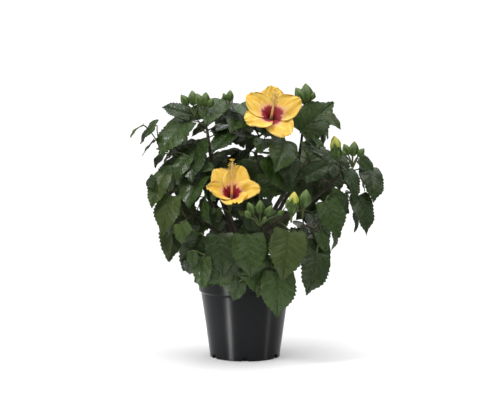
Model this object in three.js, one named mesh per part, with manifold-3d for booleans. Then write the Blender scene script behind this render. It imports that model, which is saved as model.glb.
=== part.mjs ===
// A potted hibiscus shrub: a black nursery pot, its soil, one short trunk, the boughs that fork
// from it, and the masses of foliage and blossom that the boughs end in.
// Millimetres, +Z up. The origin is the centre of the pot's underside, and the shrub's front,
// with its two open blooms, looks along -Y.
import * as THREE from "three";
import { mergeVertices } from "three/addons/utils/BufferGeometryUtils.js";
import Module from "manifold-3d";

const wasm = await Module();
wasm.setup();

// ---- driving dimensions ----
const GAP = 0.35; // air left between neighbouring solids
const SAME_POINT = 1e-4; // corners nearer than this are one

const POT = {
  height: 108,
  footRadius: 47.5,
  shoulderRadius: 59.3, // where the plain body ends
  shoulderHeight: 87,
  collarRadius: 62, // foot of the wider collar
  collarHeight: 90,
  rimRadius: 65,
  lipWidth: 3.2,
  wall: 1.7,
  floor: 2,
  sides: 28,
  notchCount: 6, // drain slots in the bottom edge
  notchWidth: 9,
  notchHeight: 5,
  notchDepth: 5,
  notchInset: 1, // how far a slot's middle lies outside the foot's edge
};
const SOIL = { height: 97.5, sag: 2.5, flatRadius: 18, sides: 20 };
const TRUNK = {
  foot: [0, 0],
  fork: [3, 2, 130],
  footRadius: 6.6,
  forkRadius: 5.4,
  flare: 4.2, // how far the root flare adds to the foot's radius
  flareReach: 0.22, // part of the trunk's height that the flare fades over
  flareLobes: 5,
  flareRidge: 0.35, // how much deeper the flare is on its lobes than on average
  straight: 0.2, // part of the height that rises straight up from the foot
  bend: { height: 0.6, lean: 0.4 }, // where it bends, as parts of its height and of its lean
  sides: 10,
  steps: 6,
};
const GROUND = SOIL.height + GAP;
const BOUGH = { sides: 6, steps: 6 };
const CORE = { around: 8, down: 5, unevenness: 0.09, waves: [3, 4, 5] }; // waves along X, Y, Z
const LOBE = { around: 6, down: 4, halfThickness: 9, rootDepth: 0.35 };
const CROWN_CENTRE = new THREE.Vector3(6, 4, 200); // lobes turn their broad sides away from it

// Each bough: its base and tip radius, the mass that it ends in, and its route, which starts
// inside the trunk or inside the bough that it springs from.
const BOUGHS = [
  {
    name: "bough_left_top",
    radii: [4.0, 2.4],
    into: "foliage_left_top",
    route: [[2, 1, 122], [-12, -3, 158], [-34, -8, 222], [-47, -10, 270], [-50, -9, 300], [-56, -9, 330]],
  },
  {
    name: "bough_top",
    radii: [3.9, 2.3],
    into: "foliage_top",
    route: [[3, 3, 122], [5, 10, 165], [8, 12, 230], [16, 4, 280], [26, -8, 312]],
  },
  {
    name: "bough_right_top",
    radii: [3.9, 2.3],
    into: "foliage_right_top",
    route: [[4, 2, 122], [20, 5, 165], [50, 5, 215], [72, 0, 262], [76, 0, 296], [81, 0, 335]],
  },
  {
    name: "bough_front",
    radii: [3.4, 2.0],
    into: "foliage_front",
    route: [[3, 0, 122], [9, -16, 140], [22, -42, 158], [34, -66, 176], [40, -78, 196]],
  },
  {
    name: "bough_back_left",
    radii: [3.6, 2.1],
    into: "foliage_back_left",
    route: [[1, 4, 122], [-14, 22, 152], [-42, 44, 196], [-66, 58, 246], [-76, 66, 280]],
  },
  {
    name: "bough_back_right",
    radii: [3.6, 2.1],
    into: "foliage_back_right",
    route: [[5, 4, 122], [20, 22, 152], [46, 42, 192], [72, 54, 240], [84, 62, 276]],
  },
  {
    name: "bough_left_outer",
    radii: [3.0, 1.9],
    into: "foliage_left_outer",
    route: [[-14, -4, 164], [-34, 2, 196], [-62, 8, 236], [-90, 6, 276], [-106, 4, 304]],
  },
  {
    name: "bough_left_low",
    radii: [2.8, 1.8],
    into: "foliage_left_low",
    route: [[-8, -2, 146], [-26, -12, 162], [-50, -24, 180], [-72, -32, 200], [-82, -34, 216]],
  },
  {
    name: "bough_right_outer",
    radii: [3.0, 1.9],
    into: "foliage_right_outer",
    route: [[24, 5, 170], [50, 0, 186], [78, -8, 204], [103, -12, 223], [128, -12, 250], [138, -12, 266]],
  },
  {
    name: "bough_right_low",
    radii: [2.7, 1.7],
    into: "foliage_right_low",
    route: [[12, -22, 144], [34, -32, 152], [60, -40, 164], [82, -44, 180], [90, -44, 198]],
  },
  {
    name: "bough_front_left",
    radii: [2.7, 1.8],
    into: "foliage_front_left",
    route: [[14, -28, 146], [4, -42, 160], [-10, -52, 176], [-19, -58, 196], [-21, -60, 212]],
  },
  {
    name: "bough_back_top",
    radii: [2.8, 1.8],
    into: "foliage_back_top",
    route: [[6, 12, 180], [6, 28, 210], [4, 42, 250], [2, 50, 290], [0, 52, 312]],
  },
  {
    name: "bough_back_low",
    radii: [2.7, 1.7],
    into: "foliage_back_low",
    route: [[14, 18, 142], [14, 38, 150], [10, 60, 162], [6, 80, 178], [5, 88, 190]],
  },
];

// Each mass: its core's centre and half sizes, and the tips that its lobes reach, each with
// the lobe's breadth. A lobe is a thick pad along one or two of the mass's leaves.
const MASSES = [
  {
    name: "foliage_top",
    centre: [22, -14, 306],
    half: [40, 30, 28],
    tips: [
      [42, -44, 362, 34], [2, -50, 350, 28], [75, -48, 336, 28], [34, -62, 270, 40],
      [-16, 14, 350, 30],
    ],
  },
  {
    name: "foliage_front",
    centre: [32, -84, 176],
    half: [34, 18, 26],
    tips: [
      [44, -106, 122, 44], [-10, -98, 140, 34], [74, -90, 150, 30], [70, -84, 220, 30],
      [24, -86, 216, 24],
    ],
  },
  {
    name: "foliage_front_left",
    centre: [-20, -60, 216],
    half: [36, 24, 22],
    tips: [[-28, -72, 256, 30], [-52, -68, 232, 26], [17, -76, 236, 28], [-52, -58, 190, 30]],
  },
  {
    name: "foliage_left_top",
    centre: [-48, -6, 314],
    half: [30, 26, 22],
    tips: [
      [-57, -10, 359, 24], [-21, -2, 350, 14], [-28, -38, 282, 36], [-110, 12, 333, 20],
    ],
  },
  {
    name: "foliage_left_outer",
    centre: [-104, 0, 292],
    half: [22, 20, 16],
    tips: [[-151, -8, 306, 16], [-138, 2, 276, 16], [-133, -14, 313, 18], [-86, -36, 258, 40]],
  },
  {
    name: "foliage_left_hanging",
    centre: [-106, -28, 244],
    half: [19, 14, 20],
    tips: [[-121, -42, 203, 42], [-130, -30, 238, 28]],
  },
  {
    name: "foliage_left_mid",
    centre: [-60, -22, 242],
    half: [22, 20, 30],
    tips: [[-72, -42, 206, 34], [-74, -10, 276, 32]],
  },
  {
    name: "foliage_left_low",
    centre: [-76, -38, 188],
    half: [24, 20, 22],
    tips: [[-117, -26, 212, 32], [-102, -32, 167, 26], [-70, -88, 126, 46]],
  },
  {
    name: "foliage_right_top",
    centre: [88, 0, 318],
    half: [26, 22, 24],
    tips: [
      [72, -2, 367, 16], [94, -4, 360, 18], [116, 0, 338, 14], [99, -44, 272, 46],
      [120, -26, 316, 26],
    ],
  },
  {
    name: "foliage_right_outer",
    centre: [140, -8, 250],
    half: [22, 20, 18],
    tips: [
      [187, -4, 264, 16], [177, 2, 226, 16], [159, -24, 166, 44], [131, -42, 202, 38],
      [121, -12, 296, 18], [152, -12, 287, 18],
    ],
  },
  {
    name: "foliage_right_inner",
    centre: [88, -36, 250],
    half: [20, 12, 16],
    tips: [[64, -44, 232, 32], [114, -28, 262, 22]],
  },
  {
    name: "foliage_right_low",
    centre: [94, -46, 184],
    half: [22, 18, 20],
    tips: [[118, -46, 204, 28], [133, -44, 168, 24], [117, -52, 142, 32], [90, -76, 104, 46]],
  },
  {
    name: "foliage_centre",
    centre: [42, -40, 248],
    half: [26, 20, 36],
    tips: [[62, -38, 276, 28], [14, -50, 262, 28]],
  },
  {
    name: "foliage_front_low",
    centre: [24, -84, 140],
    half: [30, 12, 18],
    tips: [[33, -94, 79, 50], [-6, -94, 110, 36], [66, -78, 86, 26]],
  },
  {
    name: "foliage_lower_left",
    centre: [-36, -74, 142],
    half: [28, 14, 24],
    tips: [[-52, -86, 102, 36], [-10, -86, 78, 38]],
  },
  {
    name: "foliage_back_top",
    centre: [2, 48, 304],
    half: [44, 30, 32],
    tips: [[-40, 72, 326, 36], [38, 80, 328, 36], [0, 98, 288, 44]],
  },
  {
    name: "foliage_back_left",
    centre: [-76, 58, 244],
    half: [40, 32, 40],
    tips: [
      [-124, 68, 262, 40], [-104, 94, 216, 42], [-62, 112, 240, 42], [-88, 84, 300, 40],
    ],
  },
  {
    name: "foliage_back_right",
    centre: [84, 56, 240],
    half: [40, 32, 40],
    tips: [
      [136, 68, 254, 40], [112, 98, 218, 42], [66, 114, 244, 42], [96, 80, 300, 40],
    ],
  },
  {
    name: "foliage_back_middle",
    centre: [2, 78, 232],
    half: [36, 26, 34],
    tips: [[-24, 118, 226, 42], [30, 118, 240, 42]],
  },
  {
    name: "foliage_back_low",
    centre: [4, 82, 168],
    half: [42, 22, 28],
    tips: [[-50, 98, 134, 40], [4, 122, 142, 44], [58, 98, 132, 40], [0, 96, 90, 38]],
  },
  {
    name: "foliage_side_left",
    centre: [-74, 28, 178],
    half: [30, 26, 26],
    tips: [[-118, 34, 176, 38], [-86, 66, 142, 40], [-98, 14, 136, 36]],
  },
  {
    name: "foliage_side_right",
    centre: [80, 26, 174],
    half: [30, 26, 26],
    tips: [[122, 32, 180, 38], [94, 66, 142, 40], [106, 8, 134, 36]],
  },
  {
    name: "foliage_inner",
    centre: [-2, 0, 232],
    half: [36, 34, 46],
    tips: [],
  },
];

const COLOURS = {
  pot: { color: 0x1c1d1f, roughness: 0.38 },
  soil: { color: 0x3a2a1f, roughness: 0.95 },
  bark: { color: 0x6b5a3e, roughness: 0.8 },
  foliage: [0x2c4a26, 0x35562b, 0x264021, 0x3d5f30],
};

// ---- solids ----
const vector = (xyz) => new THREE.Vector3(...xyz);

function toSolid(geometry) {
  const bare = geometry.clone();
  bare.deleteAttribute("normal");
  bare.deleteAttribute("uv");
  const merged = mergeVertices(bare, SAME_POINT);
  const vertProperties = new Float32Array(merged.attributes.position.array);
  const triVerts = new Uint32Array(merged.index.array);
  return new wasm.Manifold(new wasm.Mesh({ numProp: 3, vertProperties, triVerts }));
}

function toGeometry(solid) {
  const { vertProperties, triVerts, numProp } = solid.getMesh();
  const count = vertProperties.length / numProp;
  const places = new Float32Array(count * 3);
  for (let i = 0; i < count; i += 1) {
    places.set(vertProperties.slice(i * numProp, i * numProp + 3), i * 3);
  }
  const geometry = new THREE.BufferGeometry();
  geometry.setAttribute("position", new THREE.BufferAttribute(places, 3));
  geometry.setIndex([...triVerts]);
  geometry.computeVertexNormals();
  return geometry;
}

// A cut can leave crumbs behind a neighbour: only the biggest body is kept.
function biggest(solid) {
  const sizes = solid.decompose().map((body) => ({ body, volume: body.volume() }));
  sizes.sort((a, b) => b.volume - a.volume);
  return sizes[0].body;
}

// ---- pot and soil ----
function turned(profile, sides) {
  const points = profile.map(([radius, height]) => new THREE.Vector2(radius, height));
  const geometry = new THREE.LatheGeometry(points, sides);
  geometry.rotateX(Math.PI / 2); // the lathe turns about Y
  return geometry;
}

function potOutside(grow) {
  return [
    [0, -grow],
    [POT.footRadius + grow, -grow],
    [POT.shoulderRadius + grow, POT.shoulderHeight],
    [POT.collarRadius + grow, POT.collarHeight],
    [POT.rimRadius + grow, POT.height - POT.lipWidth],
    [POT.rimRadius + grow, POT.height + grow],
  ];
}

function innerRadius(height) {
  const slope = (POT.shoulderRadius - POT.footRadius) / POT.shoulderHeight;
  return POT.footRadius + slope * height - POT.wall;
}

function makePot() {
  const inside = [
    [POT.rimRadius - POT.wall, POT.height],
    [POT.rimRadius - POT.wall, POT.height - POT.lipWidth],
    [POT.collarRadius - POT.wall, POT.collarHeight],
    [innerRadius(POT.shoulderHeight), POT.shoulderHeight],
    [innerRadius(POT.floor), POT.floor],
    [0, POT.floor],
  ];
  const geometry = turned([...potOutside(0), ...inside], POT.sides);
  let solid = toSolid(geometry);
  for (let i = 0; i < POT.notchCount; i += 1) {
    const notch = new THREE.BoxGeometry(POT.notchDepth * 2, POT.notchWidth, POT.notchHeight * 2);
    notch.translate(POT.footRadius + POT.notchInset, 0, 0);
    notch.rotateZ(((i + 0.5) / POT.notchCount) * 2 * Math.PI);
    solid = solid.subtract(toSolid(notch));
  }
  return solid;
}

function makeSoil() {
  const edgeHeight = SOIL.height - SOIL.sag;
  const collarSlope = (POT.rimRadius - POT.collarRadius) / (POT.height - POT.collarHeight);
  const edgeRadius = POT.collarRadius + collarSlope * (edgeHeight - POT.collarHeight) - POT.wall;
  const floor = POT.floor + GAP;
  const profile = [
    [0, floor],
    [innerRadius(floor) - 2 * GAP, floor],
    [innerRadius(POT.shoulderHeight) - 2 * GAP, POT.shoulderHeight],
    [POT.collarRadius - POT.wall - 2 * GAP, POT.collarHeight + GAP],
    [edgeRadius - 2 * GAP, edgeHeight],
    [SOIL.flatRadius, SOIL.height],
    [0, SOIL.height],
  ];
  return toSolid(turned(profile, SOIL.sides));
}

// ---- trunk and boughs ----
// A cylinder bent along a route, with a radius that changes along and around it.
function bentLimb(route, radiusAt, sides, steps, grow) {
  const curve = new THREE.CatmullRomCurve3(route.map(vector));
  const frames = curve.computeFrenetFrames(steps);
  const geometry = new THREE.CylinderGeometry(1, 1, 1, sides, steps);
  const places = geometry.attributes.position;
  const place = new THREE.Vector3();
  for (let i = 0; i < places.count; i += 1) {
    place.fromBufferAttribute(places, i);
    const along = place.y + 0.5;
    const step = Math.round(along * steps);
    const angle = Math.atan2(place.z, place.x);
    const isCapCentre = Math.hypot(place.x, place.z) < SAME_POINT;
    const radius = isCapCentre ? 0 : radiusAt(along, angle) + grow;
    const centre = curve.getPointAt(along);
    if (step === 0) centre.addScaledVector(frames.tangents[0], -grow);
    if (step === steps) centre.addScaledVector(frames.tangents[steps], grow);
    centre.addScaledVector(frames.normals[step], radius * Math.cos(angle));
    centre.addScaledVector(frames.binormals[step], -radius * Math.sin(angle));
    places.setXYZ(i, centre.x, centre.y, centre.z);
  }
  return geometry;
}

function makeTrunk(grow) {
  const [footX, footY] = TRUNK.foot;
  const [forkX, forkY, forkZ] = TRUNK.fork;
  const rise = forkZ - GROUND;
  const route = [
    [footX, footY, GROUND],
    [footX, footY, GROUND + rise * TRUNK.straight],
    [forkX * TRUNK.bend.lean, forkY * TRUNK.bend.lean, GROUND + rise * TRUNK.bend.height],
    TRUNK.fork,
  ];
  const radiusAt = (along, angle) => {
    const taper = TRUNK.footRadius + (TRUNK.forkRadius - TRUNK.footRadius) * along;
    const ridges = 1 + TRUNK.flareRidge * Math.cos(TRUNK.flareLobes * angle);
    return taper + TRUNK.flare * ridges * Math.exp(-along / TRUNK.flareReach);
  };
  const geometry = bentLimb(route, radiusAt, TRUNK.sides, TRUNK.steps, grow);
  const places = geometry.attributes.position;
  const cut = GROUND - grow; // the foot is cut flat at ground level
  for (let i = 0; i < places.count; i += 1) {
    const atFoot = places.getZ(i) < GROUND + rise / (2 * TRUNK.steps);
    if (atFoot) places.setZ(i, cut);
  }
  return toSolid(geometry);
}

function makeBough(bough, grow) {
  const [baseRadius, tipRadius] = bough.radii;
  const radiusAt = (along) => baseRadius + (tipRadius - baseRadius) * along;
  return toSolid(bentLimb(bough.route, radiusAt, BOUGH.sides, BOUGH.steps, grow));
}

// ---- foliage ----
// An uneven ball: its radius swells and sinks with the direction, by three waves.
function makeCore(mass, seed, grow) {
  const geometry = new THREE.SphereGeometry(1, CORE.around, CORE.down);
  const places = geometry.attributes.position;
  const spot = new THREE.Vector3();
  for (let i = 0; i < places.count; i += 1) {
    spot.fromBufferAttribute(places, i);
    const along = [spot.x, spot.y, spot.z];
    const waves = CORE.waves.map((count, axis) => Math.sin(count * along[axis] + (axis + 1) * seed));
    const wave = waves[0] + waves[1] + waves[2];
    const swell = 1 + CORE.unevenness * wave;
    const reach = mass.half.map((half) => half * swell + grow);
    spot.multiply(vector(reach));
    places.setXYZ(i, spot.x, spot.y, spot.z);
  }
  geometry.translate(...mass.centre);
  return toSolid(geometry);
}

// A pad from inside the core out to a tip: long towards the tip, thin across its leaf.
function makeLobe(mass, tip, grow) {
  const [x, y, z, breadth] = tip;
  const end = new THREE.Vector3(x, y, z);
  const centre = vector(mass.centre);
  const along = end.clone().sub(centre).normalize();
  const root = centre.clone().addScaledVector(along, LOBE.rootDepth * Math.min(...mass.half));
  const middle = root.clone().add(end).multiplyScalar(0.5);
  const outward = middle.clone().sub(CROWN_CENTRE);
  const across = new THREE.Vector3().crossVectors(outward, along).normalize();
  const facing = new THREE.Vector3().crossVectors(across, along).normalize();
  const turn = new THREE.Matrix4().makeBasis(across, along, facing);
  const geometry = new THREE.SphereGeometry(1, LOBE.around, LOBE.down);
  const halfLength = root.distanceTo(end) / 2;
  const halfThickness = Math.min(LOBE.halfThickness, breadth / 2);
  geometry.scale(breadth / 2 + grow, halfLength + grow, halfThickness + grow);
  geometry.applyMatrix4(turn);
  geometry.translate(middle.x, middle.y, middle.z);
  return toSolid(geometry);
}

function makeMass(mass, seed, grow) {
  let solid = makeCore(mass, seed, grow);
  for (const tip of mass.tips) solid = solid.add(makeLobe(mass, tip, grow));
  return solid;
}

// ---- assembly ----
const plant = new THREE.Group();
plant.name = "hibiscus_in_pot";

function addPart(name, solid, look) {
  const material = new THREE.MeshStandardMaterial({ metalness: 0, flatShading: true, ...look });
  const mesh = new THREE.Mesh(toGeometry(solid), material);
  mesh.name = name;
  plant.add(mesh);
}

addPart("pot", makePot(), COLOURS.pot);
addPart("potting_soil", makeSoil(), COLOURS.soil);
addPart("trunk", makeTrunk(0), COLOURS.bark);

const cleared = [makeTrunk(GAP)]; // the wood placed so far, grown by the gap
for (const bough of BOUGHS) {
  const index = MASSES.findIndex((mass) => mass.name === bough.into);
  let solid = makeBough(bough, 0).subtract(makeMass(MASSES[index], index, GAP * 2));
  for (const wood of cleared) solid = solid.subtract(wood);
  addPart(bough.name, biggest(solid), COLOURS.bark);
  cleared.push(makeBough(bough, GAP));
}

const potRoom = toSolid(turned([...potOutside(GAP * 2), [0, POT.height + GAP * 2]], POT.sides));
const placed = [];
MASSES.forEach((mass, index) => {
  let solid = makeMass(mass, index, 0).subtract(potRoom).subtract(cleared[0]);
  BOUGHS.forEach((bough, order) => {
    if (bough.into !== mass.name) solid = solid.subtract(cleared[order + 1]);
  });
  for (const neighbour of placed) solid = solid.subtract(neighbour);
  const look = { color: COLOURS.foliage[index % COLOURS.foliage.length], roughness: 0.55 };
  addPart(mass.name, biggest(solid), look);
  placed.push(makeMass(mass, index, GAP));
});

export default plant;
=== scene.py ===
"""The looks of a potted hibiscus shrub with two open blooms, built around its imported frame.

Lengths are in millimetres until a mesh is made. +X is to the right, -Y is the front, +Z is up,
and the origin is the centre of the pot's underside.
"""
import functools
import math

import bpy
import numpy as np
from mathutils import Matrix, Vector
from mathutils.bvhtree import BVHTree


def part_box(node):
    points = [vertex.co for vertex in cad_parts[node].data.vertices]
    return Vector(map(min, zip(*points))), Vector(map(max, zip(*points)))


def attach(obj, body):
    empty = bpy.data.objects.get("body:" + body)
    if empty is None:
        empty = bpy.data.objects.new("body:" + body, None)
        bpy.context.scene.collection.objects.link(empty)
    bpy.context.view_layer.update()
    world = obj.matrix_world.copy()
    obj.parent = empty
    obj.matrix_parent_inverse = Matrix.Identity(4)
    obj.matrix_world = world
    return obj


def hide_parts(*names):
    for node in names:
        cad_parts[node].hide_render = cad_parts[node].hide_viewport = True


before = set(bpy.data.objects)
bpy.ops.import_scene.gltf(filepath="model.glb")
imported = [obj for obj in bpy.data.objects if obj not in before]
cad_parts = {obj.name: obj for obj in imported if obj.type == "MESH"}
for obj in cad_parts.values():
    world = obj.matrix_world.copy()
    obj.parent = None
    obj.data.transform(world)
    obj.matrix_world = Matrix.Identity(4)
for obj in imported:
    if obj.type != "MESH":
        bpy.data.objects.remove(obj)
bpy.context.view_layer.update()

MM = 0.001
UV_NAME = "OFBake"  # every piece's pattern follows this map
UP = np.array([0.0, 0.0, 1.0])
FRONT = np.array([0.0, -1.0, 0.0])
GOLDEN_ANGLE = math.radians(137.5)
rng = np.random.default_rng(20)

# ---- camera, floor and light ----
EYE = np.array([6.8, -2000.0, 360.0])
EYE_PITCH = math.radians(4.25)  # the camera looks down by this much
LENS_MM = 107.2
FLOOR_RADIUS = 0.55  # metres
SKY_ENERGY = 2.9  # the wide light from above, the same all over the floor
SKY_BREADTH = math.radians(75)
SKY_DIRECTION = (-0.18, -0.08, -1.0)
ROOM_STRENGTH = 0.32  # the light that comes from every side
BACKDROP_STRENGTH = 1.1  # what the camera sees of that light, which is plain white
CROWN_SPOT, POT_SPOT = (0.0, 0.0, 0.22), (0, 0, 0.045)  # what the lamps aim at, in metres
LAMPS = (  # name, place in metres, aim, size in metres, watts, spread in degrees
    ("key", (-0.75, -0.7, 1.35), CROWN_SPOT, (0.4, 0.4), 1.45, 60),
    ("fill", (0.9, -1.3, 0.75), CROWN_SPOT, (0.7, 0.7), 0.16, 60),
    ("back", (0.3, 1.3, 0.9), CROWN_SPOT, (0.8, 0.8), 0.4, 60),
    ("pot_strip", (-0.524, -0.536, 0.03), POT_SPOT, (0.13, 0.05), 0.12, 14),
    ("pot_edge", (0.70, -0.27, 0.03), POT_SPOT, (0.05, 0.05), 0.013, 14),
)


def add_object(name, data):
    """A new object, put in the scene."""
    made = bpy.data.objects.new(name, data)
    bpy.context.scene.collection.objects.link(made)
    return made


def aimed(direction):
    """The turn of a lamp that shines along direction."""
    return direction.to_track_quat("-Z", "Y").to_euler()


def make_camera():
    data = bpy.data.cameras.new("camera")
    data.lens = LENS_MM
    data.sensor_width = 36.0
    camera = add_object("camera", data)
    camera.location = EYE * MM
    camera.rotation_euler = (math.pi / 2 - EYE_PITCH, 0, 0)
    bpy.context.scene.camera = camera


def softbox(name, place, aim, size, power, spread):
    """A rectangular lamp that the camera doesn't see."""
    data = bpy.data.lights.new(name, "AREA")
    data.shape = "RECTANGLE"
    data.size, data.size_y = size
    data.energy = power
    data.spread = math.radians(spread)
    light = add_object(name, data)
    light.location = place
    light.visible_camera = False
    light.rotation_euler = aimed(Vector(aim) - Vector(place))


def make_studio():
    for lamp in LAMPS:
        softbox(*lamp)
    sky = bpy.data.lights.new("sky_panel", "SUN")
    sky.energy = SKY_ENERGY
    sky.angle = SKY_BREADTH
    add_object("sky_panel", sky).rotation_euler = aimed(Vector(SKY_DIRECTION))
    world = bpy.data.worlds.new("studio")
    world.use_nodes = True
    tree = world.node_tree
    backdrop = tree.nodes["Background"]
    backdrop.inputs["Color"].default_value = (1, 1, 1, 1)
    rays = tree.nodes.new("ShaderNodeLightPath")
    strength = tree.nodes.new("ShaderNodeMapRange")
    strength.inputs["To Min"].default_value = ROOM_STRENGTH
    strength.inputs["To Max"].default_value = BACKDROP_STRENGTH
    tree.links.new(rays.outputs["Is Camera Ray"], strength.inputs["Value"])
    tree.links.new(strength.outputs["Result"], backdrop.inputs["Strength"])
    bpy.context.scene.world = world
    bpy.context.scene.view_settings.view_transform = "Standard"


# ---- shaders ----
class Shader:
    """A node material being wired up. Each call adds one node and returns its output."""

    def __init__(self, name, **numbers):
        self.material = bpy.data.materials.new(name)
        self.material.use_nodes = True
        self.tree = self.material.node_tree
        self.tree.nodes.clear()
        self.surface = self.tree.nodes.new("ShaderNodeBsdfPrincipled")
        output = self.tree.nodes.new("ShaderNodeOutputMaterial")
        self.tree.links.new(self.surface.outputs["BSDF"], output.inputs["Surface"])
        for socket, value in numbers.items():
            self.surface.inputs[socket.replace("_", " ")].default_value = value

    def set(self, socket, value):
        if isinstance(value, bpy.types.NodeSocket):
            self.tree.links.new(value, socket)
        elif isinstance(value, tuple) and len(value) == 3 and socket.type == "RGBA":
            socket.default_value = (*value, 1.0)
        else:
            socket.default_value = value

    def feed(self, name, value):
        self.set(self.surface.inputs[name], value)

    def math(self, operation, *values):
        node = self.tree.nodes.new("ShaderNodeMath")
        node.operation = operation
        for socket, value in zip(node.inputs, values):
            self.set(socket, value)
        return node.outputs[0]

    def times(self, first, second):
        return self.math("MULTIPLY", first, second)

    def plus(self, first, second):
        return self.math("ADD", first, second)

    def minus(self, first, second):
        return self.math("SUBTRACT", first, second)

    def place(self):
        """The UV map's two coordinates."""
        uv = self.tree.nodes.new("ShaderNodeUVMap")
        uv.uv_map = UV_NAME
        split = self.tree.nodes.new("ShaderNodeSeparateXYZ")
        self.tree.links.new(uv.outputs["UV"], split.inputs[0])
        return split.outputs["X"], split.outputs["Y"]

    def ring_place(self):
        """Where the map's X runs round a piece: the angle, its cosine and sine, and the Y along it."""
        x, along = self.place()
        angle = self.times(x, 2 * math.pi)
        return angle, (self.math("COSINE", angle), self.math("SINE", angle)), along

    def join(self, x, y=0.0, z=0.0):
        node = self.tree.nodes.new("ShaderNodeCombineXYZ")
        for socket, value in zip(node.inputs, (x, y, z)):
            self.set(socket, value)
        return node.outputs[0]

    def ease(self, value, low, high, to_low=0.0, to_high=1.0):
        """Runs smoothly from to_low to to_high as value goes from low to high."""
        node = self.tree.nodes.new("ShaderNodeMapRange")
        node.interpolation_type = "SMOOTHSTEP"
        for socket, number in zip(node.inputs, (value, low, high, to_low, to_high)):
            self.set(socket, number)
        return node.outputs[0]

    def blend(self, amount, first, second):
        node = self.tree.nodes.new("ShaderNodeMix")
        node.data_type = "RGBA"
        self.set(node.inputs[0], amount)
        self.set(node.inputs[6], first)  # a mix node's colours are its inputs 6 and 7
        self.set(node.inputs[7], second)
        return node.outputs[2]

    def noise(self, where, scale, detail=3.0, roughness=0.5):
        node = self.tree.nodes.new("ShaderNodeTexNoise")
        self.set(node.inputs["Vector"], where)
        self.set(node.inputs["Scale"], scale)
        self.set(node.inputs["Detail"], detail)
        self.set(node.inputs["Roughness"], roughness)
        return node.outputs[0]

    def cells(self, where, scale):
        """Distance to the edge of the nearest cell of an irregular net."""
        node = self.tree.nodes.new("ShaderNodeTexVoronoi")
        node.feature = "DISTANCE_TO_EDGE"
        self.set(node.inputs["Vector"], where)
        self.set(node.inputs["Scale"], scale)
        return node.outputs[0]

    def bump(self, height, distance, strength):
        node = self.tree.nodes.new("ShaderNodeBump")
        self.set(node.inputs["Height"], height)
        self.set(node.inputs["Distance"], distance)
        self.set(node.inputs["Strength"], strength)
        self.feed("Normal", node.outputs[0])


LEAF_ROWS, LEAF_COLUMNS = 36, 13
VEIN_ROWS = 5  # rows of a leaf's mesh between one side vein and the next
SIDE_VEINS = (LEAF_ROWS - 1) / VEIN_ROWS
TILE = 0.24  # half the breadth of each face's strip of the map: upper faces at 0.25, lower at 0.75


def blade_place(shader):
    """Across (0 at the rib, 1 at the margin), along, and 1 on the lower face, of a thin blade."""
    x, along = shader.place()
    under = shader.math("GREATER_THAN", x, 0.5)
    local = shader.minus(shader.minus(x, shader.times(under, 0.5)), 0.25)
    signed = shader.math("DIVIDE", local, TILE)
    return signed, shader.math("ABSOLUTE", signed), along, under


def leaf_material(name, dark, light, vein, below, gloss):
    """A leaf's skin: its rib, side veins and fine net over mottled green, and paler below."""
    shader = Shader(name, Specular_IOR_Level=0.38)
    signed, across, along, under = blade_place(shader)
    rib = shader.ease(across, 0.0, 0.07, 1.0, 0.0)
    count = shader.math("FRACT", shader.plus(shader.times(along, SIDE_VEINS), 0.5))
    from_vein = shader.math("ABSOLUTE", shader.minus(count, 0.5))
    fade = shader.ease(across, 0.55, 1.0, 1.0, 0.15)
    side = shader.times(shader.ease(from_vein, 0.0, 0.085, 1.0, 0.0), fade)
    where = shader.join(signed, shader.times(along, 2.6), under)
    net = shader.ease(shader.cells(where, 9.0), 0.0, 0.1, 1.0, 0.0)
    veins = shader.math("MAXIMUM", rib, side)
    mottle = shader.noise(where, 3.5, 4.0, 0.6)
    edge = shader.ease(across, 0.82, 1.0, 0.0, 0.45)
    upper = shader.blend(shader.ease(mottle, 0.3, 0.7), dark, light)
    upper = shader.blend(shader.times(edge, 0.6), upper, light)
    upper = shader.blend(shader.times(net, 0.16), upper, vein)
    upper = shader.blend(shader.times(veins, 0.4), upper, vein)
    lower = shader.blend(shader.times(veins, 0.5), below, vein)
    lower = shader.blend(shader.times(net, 0.2), lower, dark)
    shader.feed("Base Color", shader.blend(under, upper, lower))
    sheen = shader.ease(mottle, 0.25, 0.75, gloss - 0.06, gloss + 0.06)
    shader.feed("Roughness", shader.plus(sheen, shader.times(under, 0.2)))
    relief = shader.plus(shader.times(veins, 0.75), shader.times(net, 0.35))
    rise = shader.minus(shader.times(under, 2.0), 1.0)
    relief = shader.plus(shader.times(relief, rise), shader.times(mottle, 0.6))
    shader.bump(relief, 0.0005, 0.8)
    return shader.material


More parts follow.
